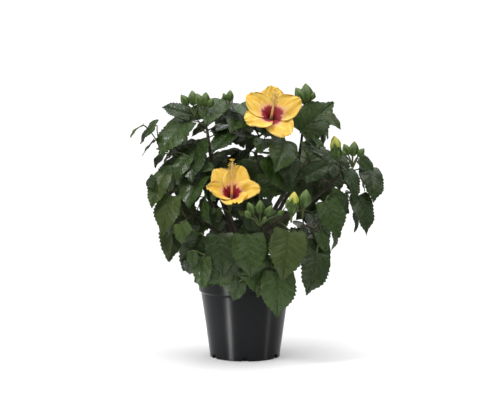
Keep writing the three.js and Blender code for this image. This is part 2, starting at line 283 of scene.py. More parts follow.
def petal_material(name):
    """A petal's skin: gold with pale clouds, and a ragged wine eye with a blush round it."""
    gold, pale = (0.76, 0.45, 0.035), (0.86, 0.62, 0.15)
    tan, cream, rust = (0.80, 0.52, 0.12), (0.92, 0.70, 0.26), (0.62, 0.30, 0.12)
    blush, crimson, wine = (0.86, 0.40, 0.30), (0.27, 0.008, 0.018), (0.08, 0.003, 0.008)
    shader = Shader(name, Roughness=0.55, Specular_IOR_Level=0.35, Subsurface_Weight=0.12)
    shader.surface.inputs["Subsurface Radius"].default_value = (0.004, 0.0025, 0.001)
    signed, across, along, under = blade_place(shader)
    ribs = shader.noise(shader.join(shader.times(signed, 16.0), along, under), 1.0, 3.0, 0.6)
    cloud = shader.noise(shader.join(signed, along, under), 2.6, 3.0, 0.5)
    ragged = shader.plus(along, shader.times(shader.minus(ribs, 0.5), 0.22))
    ragged = shader.plus(ragged, shader.times(across, 0.05))
    body = shader.blend(shader.ease(cloud, 0.35, 0.68), gold, pale)
    body = shader.blend(shader.ease(ribs, 0.5, 0.78, 0.0, 0.35), body, gold)
    body = shader.blend(shader.ease(ragged, 0.42, 0.60, 0.8, 0.0), body, blush)
    eye = shader.blend(shader.ease(ragged, 0.1, 0.3), wine, crimson)
    inner = shader.blend(shader.ease(ragged, 0.40, 0.49, 1.0, 0.0), body, eye)
    outer = shader.blend(shader.ease(ribs, 0.35, 0.7), tan, cream)
    outer = shader.blend(shader.ease(along, 0.1, 0.4, 0.5, 0.0), outer, rust)
    shader.feed("Base Color", shader.blend(under, inner, outer))
    shader.bump(ribs, 0.0006, 0.55)
    return shader.material


def wood_material(name, dark, light, spots, gloss):
    """Bark or young skin on a limb: the map's X runs round it and Y along it."""
    shader = Shader(name, Specular_IOR_Level=0.4)
    _, around, along = shader.ring_place()
    streaks = shader.noise(shader.join(*around, shader.times(along, 9.0)), 3.0, 5.0, 0.65)
    grain = shader.noise(shader.join(*around, shader.times(along, 60.0)), 4.0, 2.0)
    pores = shader.ease(grain, 0.62, 0.7)
    colour = shader.blend(shader.ease(streaks, 0.35, 0.65), dark, light)
    shader.feed("Base Color", shader.blend(shader.times(pores, 0.6), colour, spots))
    shader.feed("Roughness", shader.ease(streaks, 0.3, 0.7, gloss, gloss + 0.15))
    shader.bump(shader.plus(streaks, shader.times(pores, 0.7)), 0.0005, 0.6)
    return shader.material


def bud_material(name, dark, light, tip):
    """A calyx or furled bud: X runs round it, Y from its stalk to its tip."""
    shader = Shader(name, Specular_IOR_Level=0.4)
    angle, around, along = shader.ring_place()
    ridge = shader.math("COSINE", shader.times(angle, 5.0))
    down = shader.noise(shader.join(*around, shader.times(along, 3.0)), 5.0, 4.0, 0.6)
    colour = shader.blend(shader.ease(ridge, -0.6, 1.0), dark, light)
    colour = shader.blend(shader.ease(down, 0.4, 0.75, 0.0, 0.5), colour, light)
    shader.feed("Base Color", shader.blend(shader.ease(along, 0.55, 1.0, 0.0, 0.8), colour, tip))
    shader.feed("Roughness", shader.ease(down, 0.3, 0.7, 0.42, 0.6))
    shader.bump(down, 0.0004, 0.5)
    return shader.material


def pot_material():
    """Black plastic whose gloss is drawn out round the pot, with a little dust near its foot."""
    black, grey, dirt = (0.0025, 0.0027, 0.0031), (0.0045, 0.0048, 0.0053), (0.05, 0.046, 0.04)
    gloss = {"Specular_IOR_Level": 0.15, "Anisotropic": 0.85, "Anisotropic_Rotation": 0.25}
    shader = Shader("black_plastic", **gloss)
    tangent = shader.tree.nodes.new("ShaderNodeTangent")
    tangent.direction_type, tangent.uv_map = "UV_MAP", UV_NAME
    shader.feed("Tangent", tangent.outputs["Tangent"])
    _, around, along = shader.ring_place()
    haze = shader.noise(shader.join(*around, along), 2.5, 4.0, 0.55)
    grain = shader.noise(shader.join(*around, shader.times(along, 0.6)), 90.0, 2.0)
    dust = shader.times(shader.ease(along, 0.0, 0.16, 1.0, 0.0), shader.ease(haze, 0.4, 0.7))
    plastic = shader.blend(shader.ease(haze, 0.3, 0.7), black, grey)
    shader.feed("Base Color", shader.blend(shader.times(dust, 0.25), plastic, dirt))
    shader.feed("Roughness", shader.ease(haze, 0.3, 0.7, 0.28, 0.36))
    shader.bump(grain, 0.0001, 0.3)
    return shader.material


def crumb_material(name, dark, light, scale):
    """Crumbs of two tones, such as peat, bark or pollen."""
    shader = Shader(name, Specular_IOR_Level=0.25)
    crumbs = shader.noise(shader.join(*shader.place()), scale, 6.0, 0.7)
    shader.feed("Base Color", shader.blend(shader.ease(crumbs, 0.35, 0.65), dark, light))
    shader.feed("Roughness", shader.ease(crumbs, 0.3, 0.7, 0.8, 0.98))
    shader.bump(crumbs, 0.0012, 0.8)
    return shader.material


# ---- meshes ----
BEFORE, AFTER = slice(None, -1), slice(1, None)
QUAD = ((BEFORE, BEFORE), (BEFORE, AFTER), (AFTER, AFTER), (AFTER, BEFORE))  # a grid's quads, by corner
MAP_LOW, MAP_HIGH = 0.01, 0.99  # the map's Y at a piece's two ends


class Pile:
    """Gathers many small closed meshes of one kind, which become one object."""

    def __init__(self):
        self.points, self.count = [], 0
        self.corners = {4: [], 3: []}
        self.maps = {4: [], 3: []}

    def add(self, points, *faces):
        """faces are pairs: an array of corner numbers, and the map places of those corners."""
        for corners, places in faces:
            sides = corners.shape[1]
            self.corners[sides].append(corners + self.count)
            self.maps[sides].append(places)
        self.points.append(points)
        self.count += len(points)

    def triangles(self):
        return sum(len(c) * (sides - 2) for sides in (4, 3) for c in self.corners[sides])

    def build(self, name, material, slot, nodes):
        mesh = bpy.data.meshes.new(name)
        corners = [np.concatenate(c) for c in self.corners.values() if c]
        places = np.concatenate([np.concatenate(m).reshape(-1, 2) for m in self.maps.values() if m])
        flat = np.concatenate([c.reshape(-1) for c in corners])
        sides = np.concatenate([np.full(len(c), c.shape[1]) for c in corners])
        mesh.vertices.add(self.count)
        mesh.vertices.foreach_set("co", (np.concatenate(self.points) * MM).astype(np.float32).ravel())
        mesh.loops.add(len(flat))
        mesh.loops.foreach_set("vertex_index", flat.astype(np.int32))
        mesh.polygons.add(len(sides))
        mesh.polygons.foreach_set("loop_start", (np.cumsum(sides) - sides).astype(np.int32))
        mesh.polygons.foreach_set("use_smooth", np.ones(len(sides), bool))
        uv = mesh.uv_layers.new(name=UV_NAME)
        uv.data.foreach_set("uv", places.astype(np.float32).ravel())
        mesh.update(calc_edges=True)
        mesh.validate()
        mesh.materials.append(material)
        piece = add_object(name, mesh)
        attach(piece, "root")
        if nodes:
            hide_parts(*nodes)


def unit(vector):
    return vector / max(np.linalg.norm(vector), 1e-9)


def square_to(vector, axis):
    """The part of vector at right angles to axis, as a unit vector."""
    return unit(vector - axis * np.dot(vector, axis))


@functools.lru_cache(None)
def blade_faces(rows, columns):
    """Faces of a closed blade: an upper and a lower sheet that share their side margins."""
    upper = np.arange(rows * columns).reshape(rows, columns)
    lower = upper.copy()
    inner = rows * (columns - 2)
    lower[:, 1:-1] = rows * columns + np.arange(inner).reshape(rows, columns - 2)
    across = np.linspace(-1, 1, columns) * TILE
    along = np.linspace(MAP_LOW, MAP_HIGH, rows)
    maps = [np.stack(np.meshgrid(centre + across, along), axis=-1) for centre in (0.25, 0.75)]
    quads, quad_maps, tris, tri_maps = [], [], [], []

    def sheet(grid, places, order):
        quads.append(np.stack([grid[QUAD[k]].ravel() for k in order], axis=1))
        quad_maps.append(np.stack([places[QUAD[k]].reshape(-1, 2) for k in order], axis=1))

    sheet(upper, maps[0], (0, 1, 2, 3))
    sheet(lower, maps[1], (0, 3, 2, 1))
    for row, step in ((0, -1), (rows - 1, 1)):
        for j in range(columns - 1):
            first, second = (j, j + 1) if step > 0 else (j + 1, j)
            loop = [upper[row, first], upper[row, second], lower[row, second], lower[row, first]]
            places = [maps[0][row, first], maps[0][row, second]]
            places = places + places[::-1]
            kept = [k for k in range(4) if loop[k] not in loop[:k]]
            target, target_maps = (quads, quad_maps) if len(kept) == 4 else (tris, tri_maps)
            target.append(np.array([[loop[k] for k in kept]]))
            target_maps.append(np.array([[places[k] for k in kept]]))
    return (
        (np.concatenate(quads), np.concatenate(quad_maps)),
        (np.concatenate(tris), np.concatenate(tri_maps)),
    )


def add_blade(pile, sheet, thickness):
    """Adds a closed blade whose upper face is sheet, an array of rows by columns of points."""
    rows, columns = sheet.shape[:2]
    lower = sheet - sheet_normals(sheet) * np.broadcast_to(thickness, (rows, columns))[..., None]
    points = np.concatenate([sheet.reshape(-1, 3), lower[:, 1:-1].reshape(-1, 3)])
    pile.add(points, *blade_faces(rows, columns))


@functools.lru_cache(None)
def tube_faces(rings, sides):
    """Faces of a tube with a fan of triangles over each end."""
    ring = np.arange(rings * sides).reshape(rings, sides)
    wrapped = np.concatenate([ring, ring[:, :1]], axis=1)
    around, along = np.linspace(0, 1, sides + 1), np.linspace(MAP_LOW, MAP_HIGH, rings)
    places = np.stack(np.meshgrid(around, along), axis=-1)
    quads = np.stack([wrapped[corner].ravel() for corner in QUAD], axis=1)
    quad_maps = np.stack([places[corner].reshape(-1, 2) for corner in QUAD], axis=1)
    tris, tri_maps = [], []
    for row, centre, flip in ((0, rings * sides, True), (rings - 1, rings * sides + 1, False)):
        for j in range(sides):
            pair = (j + 1, j) if flip else (j, j + 1)
            tris.append([wrapped[row, pair[0]], wrapped[row, pair[1]], centre])
            tri_maps.append([places[row, pair[0]], places[row, pair[1]], places[row, pair[0]]])
    return (quads, quad_maps), (np.array(tris), np.array(tri_maps))


def line_tangents(line):
    tangents = np.gradient(line, axis=0)
    return tangents / np.maximum(np.linalg.norm(tangents, axis=1, keepdims=True), 1e-9)


def line_frames(line):
    """Two directions square to the line at each of its points, turning as little as they can."""
    tangents = line_tangents(line)
    side = square_to(np.array([0.31, -0.87, 0.38]), tangents[0])
    sides = []
    for tangent in tangents:
        side = square_to(side, tangent)
        sides.append(side)
    sides = np.array(sides)
    return sides, np.cross(tangents, sides), tangents


def add_tube(pile, line, radii, sides):
    """radii holds one radius for each point of the line, or one for each point and side."""
    first, second, _ = line_frames(line)
    angles = np.arange(sides) * 2 * math.pi / sides
    radii = np.asarray(radii, float)
    radii = np.repeat(radii[:, None], sides, axis=1) if radii.ndim == 1 else radii
    ring = (
        line[:, None]
        + first[:, None] * (radii * np.cos(angles))[:, :, None]
        + second[:, None] * (radii * np.sin(angles))[:, :, None]
    )
    points = np.concatenate([ring.reshape(-1, 3), line[:1], line[-1:]])
    pile.add(points, *tube_faces(len(line), sides))


def smooth_line(points, count):
    """A Catmull-Rom line through the points, at even steps."""
    points = np.asarray(points, float)
    padded = np.concatenate([2 * points[:1] - points[1:2], points, 2 * points[-1:] - points[-2:-1]])
    pieces = []
    for a, b, c, d in zip(padded, padded[1:], padded[2:], padded[3:]):
        t = np.linspace(0, 1, 16, endpoint=False)[:, None]
        pieces.append(0.5 * (2 * b + (c - a) * t + (2 * a - 5 * b + 4 * c - d) * t**2
                             + (3 * b - a - 3 * c + d) * t**3))
    dense = np.concatenate(pieces + [points[-1:]])
    reach = np.concatenate([[0], np.cumsum(np.linalg.norm(np.diff(dense, axis=0), axis=1))])
    steps = np.linspace(0, reach[-1], count)
    return np.stack([np.interp(steps, reach, dense[:, k]) for k in range(3)], axis=1)


# ---- the frame's solids ----
def node_mesh(node):
    """A solid's points in millimetres, and its triangles."""
    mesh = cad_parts[node].data
    points = np.empty(len(mesh.vertices) * 3, np.float32)
    mesh.vertices.foreach_get("co", points)
    mesh.calc_loop_triangles()
    triangles = np.empty(len(mesh.loop_triangles) * 3, np.int32)
    mesh.loop_triangles.foreach_get("vertices", triangles)
    return points.reshape(-1, 3).astype(float) / MM, triangles.reshape(-1, 3)


def within(node, *shares):
    """A spot in a solid's box, by its share of the way from the lowest corner to the highest."""
    low, high = (np.array(corner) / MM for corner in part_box(node))
    return low + (high - low) * shares


def limb_line(node, count=14, clear=3.0):
    """A limb's centre line and radius, from level cuts through its solid."""
    points, triangles = node_mesh(node)
    low, high = points[:, 2].min() + clear, points[:, 2].max() - clear
    centres, radii = [], []
    corners = points[triangles]
    for level in np.linspace(low, high, count):
        crossings = []
        for a, b in ((0, 1), (1, 2), (2, 0)):
            first, second = corners[:, a], corners[:, b]
            rise = second[:, 2] - first[:, 2]
            share = (level - first[:, 2]) / np.where(rise == 0, 1, rise)
            cut = (first[:, 2] < level) != (second[:, 2] < level)
            crossings.append((first + (second - first) * share[:, None])[cut])
        ring = np.concatenate(crossings)
        centres.append(ring.mean(0))
        radii.append(np.linalg.norm(ring - centres[-1], axis=1).min() * 1.05)
    return np.array(centres), np.array(radii)


TREE = "trunk"
POT_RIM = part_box("pot")[1].x / MM
POT_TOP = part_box("pot")[1].z / MM
BOUGHS = sorted((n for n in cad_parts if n.startswith("bough_")), key=lambda n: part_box(n)[0].z)
MASSES = sorted(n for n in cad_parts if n.startswith("foliage_"))
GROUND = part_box(TREE)[0].z / MM
CROWN_CENTRE = np.mean([within(m, 0.5, 0.5, 0.5) for m in MASSES], axis=0)


def crown_surface():
    """The triangles of every mass of foliage, and a tree for finding places on them."""
    points, triangles, start = [], [], 0
    for node in MASSES:
        p, t = node_mesh(node)
        points.append(p)
        triangles.append(t + start)
        start += len(p)
    points, triangles = np.concatenate(points), np.concatenate(triangles)
    tree = BVHTree.FromPolygons(points.tolist(), triangles.tolist())
    return points[triangles], tree


CROWN_FACES, CROWN_TREE = crown_surface()


def outside_by(point):
    """How far a spot is outside every mass of foliage: below zero when it is in one."""
    spot, normal, _, distance = CROWN_TREE.find_nearest(Vector(point))
    return distance if (Vector(point) - spot).dot(normal) > 0 else -distance


# ---- what keeps leaves apart ----
BESIDE = 7.6  # blades nearer than this, point to point, must not cross
CROSSING = 0.9  # how far over and under a blade another one's points may both be
LEAF_CLEAR = 1.4  # how near the points of two blades may come


def in_reach(samples, points, reach):
    """Which samples are in the box round some points, made wider by reach."""
    low, high = points.min(0) - reach, points.max(0) + reach
    return np.all((samples > low) & (samples < high), axis=1)


def closest(points, samples, normals):
    """Each point's distance from the nearest sample of a blade, and its height over that blade."""
    steps = points[:, None] - samples[None]
    gaps = np.linalg.norm(steps, axis=2)
    rows, nearest = np.arange(len(points)), gaps.argmin(axis=1)
    heights = np.abs(np.einsum("ij,ij->i", steps[rows, nearest], normals[nearest]))
    return gaps[rows, nearest], heights


class Taken:
    """Sample points of the blades in the crown so far, and the room that blooms keep free."""

    def __init__(self):
        self.samples, self.normals = np.full((1, 3), 1e6), np.zeros((1, 3))
        self.owners, self.count = np.zeros(1, int), 0
        self.rooms = []  # centre, radius, how far the room reaches towards the front

    def hold(self, sheet, picks):
        self.count += 1
        points = sheet[picks].reshape(-1, 3)
        self.samples = np.concatenate([self.samples, points])
        self.normals = np.concatenate([self.normals, sheet_normals(sheet)[picks].reshape(-1, 3)])
        self.owners = np.concatenate([self.owners, np.full(len(points), self.count)])

    def hits(self, line):
        """How many points of a line are in a blade, or nearly."""
        close = self.near(line, 7)
        if not len(close):
            return 0
        gaps, heights = closest(line, self.samples[close], self.normals[close])
        return int(np.sum((gaps < 6.5) & (heights < 1.6)))

    def room(self, centre, radius, front):
        self.rooms.append((np.asarray(centre, float), radius, front))

    def near(self, points, reach):
        return np.nonzero(in_reach(self.samples, points, reach))[0]

    def free(self, points, clearance):
        """Whether a blade clears every room, and lies on one side of each blade beside it."""
        for centre, radius, front in self.rooms:
            offset = points - centre
            ahead = np.clip(-offset[:, 1], 0, front)
            offset = offset - np.outer(ahead, FRONT)
            if np.linalg.norm(offset, axis=1).min() < radius:
                return False
        close = self.near(points, BESIDE)
        if not len(close):
            return True
        steps = points[:, None] - self.samples[close][None]
        gaps = np.linalg.norm(steps, axis=2)
        if gaps.min() < clearance:
            return False
        sides = np.einsum("ijk,jk->ij", steps, self.normals[close])
        beside = gaps < BESIDE
        for owner in np.unique(self.owners[close]):
            owned = self.owners[close] == owner
            on_side = sides[:, owned][beside[:, owned]]
            if len(on_side) and on_side.min() < -CROSSING and on_side.max() > CROSSING:
                return False
        return True


def sheet_normals(sheet):
    normals = np.cross(np.gradient(sheet, axis=1), np.gradient(sheet, axis=0))
    return normals / np.maximum(np.linalg.norm(normals, axis=2, keepdims=True), 1e-9)


taken = Taken()

# ---- leaves ----
LEAF_ACROSS = np.array([-1, -0.93, -0.7, -0.46, -0.25, -0.08, 0, 0.08, 0.25, 0.46, 0.7, 0.93, 1])
LEAF_SAMPLES = np.ix_([1, 6, 11, 16, 21, 26, 31, 35], [0, 2, 4, 6, 8, 10, 12])
LEAF_RIM = [(6, 0), (6, 12), (14, 0), (14, 12), (22, 0), (22, 12), (29, 0), (29, 12), (35, 6)]
RIB_SWELL = 0.8 * np.exp(-((LEAF_ACROSS / 0.1) ** 2)) * np.linspace(1, 0.2, LEAF_ROWS)[:, None]
LEAF_THICKNESS = 0.35 + RIB_SWELL  # for a leaf as long as THICK_AT
THICK_AT = 55


def leaf_sheet(length, width, fold, droop, twist, phase):
    """A toothed and quilted blade, from its base at the origin to its tip near +Y, face up."""
    row = np.arange(LEAF_ROWS)[:, None]
    along = np.linspace(0.015, 0.99, LEAF_ROWS)[:, None]
    across, side = LEAF_ACROSS[None, :], np.abs(LEAF_ACROSS)[None, :]
    half = along**0.5 * (1 - along) ** 1.02
    half = half / (2 * half.max()) * (1 - 0.25 * np.exp(-(((along - 0.86) / 0.09) ** 2)))
    tooth = (row % 3) / 2 * np.clip((along - 0.12) / 0.25, 0, 1) * (1 - along) ** 0.4
    margin = along - 0.16 * np.sin(np.pi * np.clip(along / 0.26, 0, 1))
    rib = along**1.9
    x = across * (half * width + 0.055 * length * tooth * (side > 0.9))
    y = (rib + (margin - rib) * side) * length
    gap = np.abs((row / VEIN_ROWS + 0.5) % 1 - 0.5) * 2  # 0 on a side vein, 1 halfway to the next
    z = fold * np.abs(x) - 0.5 * (fold + 0.25) * x * x / width
    z = z + 0.017 * length * gap * np.sqrt(side) * (1 - side)
    z = z - 0.012 * length * np.exp(-((across / 0.12) ** 2))
    z = z + 0.026 * length * side**2 * np.sin(13 * along + phase + 1.7 * (across > 0))
    turn = twist * along
    x, z = x * np.cos(turn) - z * np.sin(turn), x * np.sin(turn) + z * np.cos(turn)
    arc = y / length * droop
    reach = length * np.sin(arc) / droop + z * np.sin(arc)
    rise = -length * (1 - np.cos(arc)) / droop + z * np.cos(arc)
    return np.stack([x, reach, rise], axis=-1)


def set_blade(sheet, base, tip, facing):
    """Moves a blade so that it runs from base to tip with its face turned to facing."""
    _, reach, lift = sheet[-1, sheet.shape[1] // 2]
    chord = math.hypot(reach, lift)
    y = (sheet[..., 1:2] * reach + sheet[..., 2:] * lift) / chord
    z = (sheet[..., 2:] * reach - sheet[..., 1:2] * lift) / chord
    forward = unit(tip - base)
    normal = square_to(facing, forward)
    right = np.cross(forward, normal)
    grow = np.linalg.norm(tip - base) / chord
    return base + (sheet[..., :1] * right + y * forward + z * normal) * grow


# ---- the kinds of piece ----
MOST_TRIANGLES = 180_000  # in one piece


class Piles:
    """The piles of one kind, a new one begun when the last holds more than MOST_TRIANGLES triangles.
    The piles of one kind, each kept small enough for the export.
    """

    def __init__(self, name, material, slot, nodes=()):
        self.name, self.material, self.slot, self.nodes = name, material, slot, nodes
        self.piles = [Pile()]

    def pile(self):
        if self.piles[-1].triangles() > MOST_TRIANGLES:
            self.piles.append(Pile())
        return self.piles[-1]

    def build(self):
        for number, pile in enumerate(self.piles):
            if pile.count:
                name = f"{self.name}_{number + 1}" if len(self.piles) > 1 else self.name
                pile.build(name, self.material, self.slot, self.nodes)


# The tones of a leaf: its dark and light green, its veins, its underside, and its roughness.
LEAF_TONES = {
    "deep": (
        (0.011, 0.026, 0.003), (0.022, 0.045, 0.006), (0.045, 0.078, 0.014), (0.036, 0.058, 0.018), 0.25,
    ),
    "mid": (
        (0.018, 0.042, 0.004), (0.034, 0.068, 0.008), (0.062, 0.105, 0.018), (0.050, 0.078, 0.024), 0.28,
    ),
    "fresh": (
        (0.040, 0.082, 0.008), (0.068, 0.120, 0.014), (0.110, 0.160, 0.030), (0.078, 0.115, 0.036), 0.32,
    ),
    "olive": (
        (0.028, 0.050, 0.006), (0.050, 0.078, 0.011), (0.085, 0.112, 0.022), (0.062, 0.084, 0.028), 0.32,
    ),
}
LEAVES = {
    tone: Piles(f"leaves_{tone}", leaf_material(f"leaf_{tone}", *look), "leaf", MASSES)
    for tone, look in LEAF_TONES.items()
}
TWIG_TONES = (0.040, 0.042, 0.018), (0.085, 0.085, 0.035), (0.15, 0.13, 0.08)
STALK_TONES = (0.06, 0.085, 0.025), (0.11, 0.14, 0.045), (0.12, 0.08, 0.04)
BARK_TONES = (0.035, 0.030, 0.018), (0.085, 0.072, 0.045), (0.19, 0.16, 0.11)
TWIG_SKIN = wood_material("twig_skin", *TWIG_TONES, 0.5)
STALK_SKIN = wood_material("stalk_skin", *STALK_TONES, 0.45)
LIMB_BARK = wood_material("limb_bark", *BARK_TONES, 0.7)
CALYX_GREEN = bud_material("bud_green", (0.035, 0.072, 0.012), (0.085, 0.145, 0.026), (0.13, 0.18, 0.04))
FURL_YELLOW = bud_material("furl_yellow", (0.30, 0.38, 0.05), (0.50, 0.54, 0.09), (0.70, 0.60, 0.11))
PETAL_GOLD = petal_material("petal_gold")
COLUMN_SKIN = bud_material("column_skin", (0.80, 0.42, 0.20), (0.88, 0.66, 0.34), (0.90, 0.72, 0.30))
POLLEN = crumb_material("pollen", (0.62, 0.36, 0.03), (0.88, 0.62, 0.08), 14.0)
twigs = Piles("twigs", TWIG_SKIN, "bark")
stalks = Piles("leaf_stalks", STALK_SKIN, "leaf")
limbs = Piles("limbs", LIMB_BARK, "bark", [TREE, *BOUGHS])
calyxes = Piles("bud_greens", CALYX_GREEN, "bud")
furls = Piles("bud_furls", FURL_YELLOW, "petal")
petals = Piles("petals", PETAL_GOLD, "petal")
columns = Piles("bloom_columns", COLUMN_SKIN, "petal")
anthers = Piles("bloom_anthers", POLLEN, "petal")


# ---- wood ----
class Wood:
    """Every limb and twig so far, as points that stalks and further twigs can start from."""

    def __init__(self):
        self.points, self.tangents, self.radii = np.zeros((0, 3)), np.zeros((0, 3)), np.zeros(0)

    def add(self, line, radii):
        self.points = np.concatenate([self.points, line])
        self.tangents = np.concatenate([self.tangents, line_tangents(line)])
        self.radii = np.concatenate([self.radii, radii])

    def cost(self, spot):
        """How poor each point is as the start of a twig to spot, which rather comes from below."""
        above = np.clip(self.points[:, 2] - spot[2] + 4, 0, None)
        return np.linalg.norm(self.points - spot, axis=1) + 0.8 * above

    def nearest(self, spot):
        """The best place to start a twig to spot: its point, tangent and radius."""
        best = int(np.argmin(self.cost(spot)))
        return self.points[best], self.tangents[best], self.radii[best]

    def starts(self, spot, count=5, apart=9.0):
        """Several good places to start a stalk to spot, the nearest first."""
        found = []
        for k in np.argsort(self.cost(spot))[:400]:
            if all(np.linalg.norm(self.points[k] - other) > apart for other in found):
                found.append(self.points[k])
            if len(found) == count:
                break
        return found

    def pierces(self, points, normals, base):
        """Whether a limb or twig goes through a blade, or lies against it."""
        apart = np.linalg.norm(self.points - base, axis=1) > 6
        close = np.nonzero(in_reach(self.points, points, 5) & apart)[0]
        if not len(close):
            return False
        gaps, heights = closest(self.points[close], points, normals)
        return bool(np.any((gaps < 7) & (heights < self.radii[close] + 1.0)))


wood = Wood()


def grow_twig(end, radius, tip_radius):
    """A twig from the nearest wood, which bends up to its end past the blades in its way."""
    start, tangent, thickness = wood.nearest(end)
    length = np.linalg.norm(end - start)
    if length < 4:
        return
    heading = unit(end - start)
    best = None
    for bend in (0.03, 0.08, 0.12, 0.16):
        first = start + unit(tangent * 0.5 + heading) * length * 0.3
        middle = start + (end - start) * 0.66 + rng.normal(0, bend, 3) * length - UP * 0.04 * length
        line = smooth_line([start, first, middle, end], max(6, int(length / 3)))
        hits = taken.hits(line)
        if best is None or hits < best[0]:
            best = (hits, line)
    line = best[1]
    share = np.linspace(0, 1, len(line))
    base = min(radius, thickness * 0.85)
    radii = base + (tip_radius - base) * share
    swell = 1 + 0.16 * np.exp(-((((share * length / 14.0) % 1) - 0.5) / 0.1) ** 2)
    add_tube(twigs.pile(), line, radii * swell, 8)
    wood.add(line[2:], radii[2:])


def stalk_line(start, foot, onward, normal):
    """A bowed line from start to a blade's foot, and on a little way under its rib."""
    length = np.linalg.norm(foot - start)
    bow = start + (foot - start) * 0.5 + UP * 0.1 * length
    before = foot - onward * 1.5 - normal * 0.7
    return smooth_line([start, bow, before, foot + onward * 4 - normal * 0.9], 10)


def add_stalk(starts, sheet, normal):
    """A leaf stalk, from a twig to the foot of the blade's rib, thicker at both ends."""
    middle = LEAF_COLUMNS // 2
    foot, onward = sheet[0, middle], unit(sheet[8, middle] - sheet[0, middle])
    lines = [stalk_line(start, foot, onward, normal) for start in starts]
    line = min(lines, key=lambda line: taken.hits(line[:8]))
    share = np.linspace(0, 1, len(line))
    radii = 0.8 + 0.45 * np.exp(-share / 0.1) + 0.3 * np.exp(-(((share - 0.86) / 0.1) ** 2))
    radii[-1] = 0.45
    add_tube(stalks.pile(), line, radii, 6)


LONG_STALK = 40.0  # a leaf further than this from the wood gets a twig


def in_pot(points):
    """Whether any point is in the pot or in its wall."""
    low = points[:, 2] < POT_TOP + 2
    return bool(np.any(low & (np.hypot(points[:, 0], points[:, 1]) < POT_RIM + 2.5)))


def try_leaf(base, tip, facing, width, tone, clearance, proud=10.0):
    """Grows a leaf, with its stalk and if need be a twig, unless something is in its way.

    proud is how far the leaf's rim may be outside the masses.
    """
    length = np.linalg.norm(tip - base)
    fold, droop, twist = rng.uniform(0.08, 0.3), rng.uniform(0.25, 0.75), rng.normal(0, 0.12)
    sheet = leaf_sheet(length, width, fold, droop, twist, rng.uniform(0, 2 * math.pi))
    sheet = set_blade(sheet, base, tip, facing)
    samples = sheet[LEAF_SAMPLES].reshape(-1, 3)
    if in_pot(samples) or not taken.free(samples, clearance):
        return False
    if max(outside_by(sheet[row, column]) for row, column in LEAF_RIM) > proud:
        return False
    normals = sheet_normals(sheet)[LEAF_SAMPLES].reshape(-1, 3)
    if wood.pierces(samples, normals, base):
        return False
    start, _, _ = wood.nearest(base)
    if np.linalg.norm(start - base) > LONG_STALK:
        grow_twig(base + unit(start - base) * rng.uniform(14, 22), 1.5, 0.9)
    longest = 1.3 * LONG_STALK
    starts = [start for start in wood.starts(base) if np.linalg.norm(start - base) < longest]
    normal = square_to(facing, unit(tip - base))
    add_stalk(starts or [wood.nearest(base)[0]], sheet, normal)
    add_blade(LEAVES[tone].pile(), sheet, LEAF_THICKNESS * length / THICK_AT)
    taken.hold(sheet, LEAF_SAMPLES)
    return True




# ---- limbs ----
SHOOTS = {  # where some boughs end, as shares of their masses' boxes
    "foliage_left_top": (0.57, 0.5, 0.62),
    "foliage_right_top": (0.3, 0.55, 0.66),
    "foliage_right_outer": (0.24, 0.5, 0.74),
    "foliage_front": (0.62, 0.5, 0.72),
    "foliage_top": (0.55, 0.4, 0.38),
    "foliage_front_left": (0.48, 0.5, 0.22),
}
IN_MASS = (0.5, 0.5, 0.66)  # where every other bough ends
BOUGH_RINGS, BOUGH_SIDES = 90, 20
TRUNK_RINGS, TRUNK_SIDES = 40, 32


def bark_radii(line, radii, sides):
    """Ridges, rings at the old leaf scars, and small lumps over a limb's plain taper."""
    reach = np.concatenate([[0], np.cumsum(np.linalg.norm(np.diff(line, axis=0), axis=1))])[:, None]
    angle = (np.arange(sides) * 2 * math.pi / sides)[None, :]
    phase = rng.uniform(0, 2 * math.pi, 4)
    ridges = 0.035 * np.cos(5 * angle + reach / 23 + phase[0])
    ridges = ridges + 0.02 * np.cos(11 * angle - reach / 9 + phase[1])
    lumps = 0.03 * np.sin(reach / 3.1 + 2 * np.cos(angle + phase[2]))
    lumps = lumps * np.sin(reach / 5.3 + 3 * angle + phase[3])
    scars = 0.10 * np.exp(-(((reach / 17 + angle / (2 * math.pi)) % 1 - 0.5) / 0.07) ** 2)
    return radii[:, None] * (1 + ridges + lumps + scars)


def build_limbs():
    """The trunk, and each bough from its parent limb to the shoot or the mass that it feeds."""
    line, radii = limb_line(TREE, 24, 0.3)
    line[0] = (*line[0][:2], GROUND)
    line = np.concatenate([line, line[-1:] + UP * 3])
    radii = np.concatenate([radii, radii[-1:] * 0.6])
    smooth = smooth_line(line, TRUNK_RINGS)
    spread = np.interp(np.linspace(0, 1, TRUNK_RINGS), np.linspace(0, 1, len(radii)), radii)
    add_tube(limbs.pile(), smooth, bark_radii(smooth, spread, TRUNK_SIDES), TRUNK_SIDES)
    wood.add(smooth, spread)
    for node in BOUGHS:
        line, radii = limb_line(node)
        parent = wood.points[np.argmin(np.linalg.norm(wood.points - line[0] + UP * 8, axis=1))]
        mass = node.replace("bough", "foliage")
        goal = within(mass, *SHOOTS.get(mass, IN_MASS))
        ahead = line[-1] + unit(line[-1] - line[-3]) * np.linalg.norm(goal - line[-1]) * 0.35
        route = smooth_line([parent, *line, ahead, goal], BOUGH_RINGS)
        share = np.linspace(0, 1, BOUGH_RINGS)
        taper = np.interp(share, np.linspace(0.08, 0.75, len(radii)), radii)
        taper[-20:] = taper[-20] + (1.1 - taper[-20]) * np.linspace(0, 1, 20)
        add_tube(limbs.pile(), route, bark_radii(route, taper, BOUGH_SIDES), BOUGH_SIDES)
        wood.add(route[8:], taper[8:])


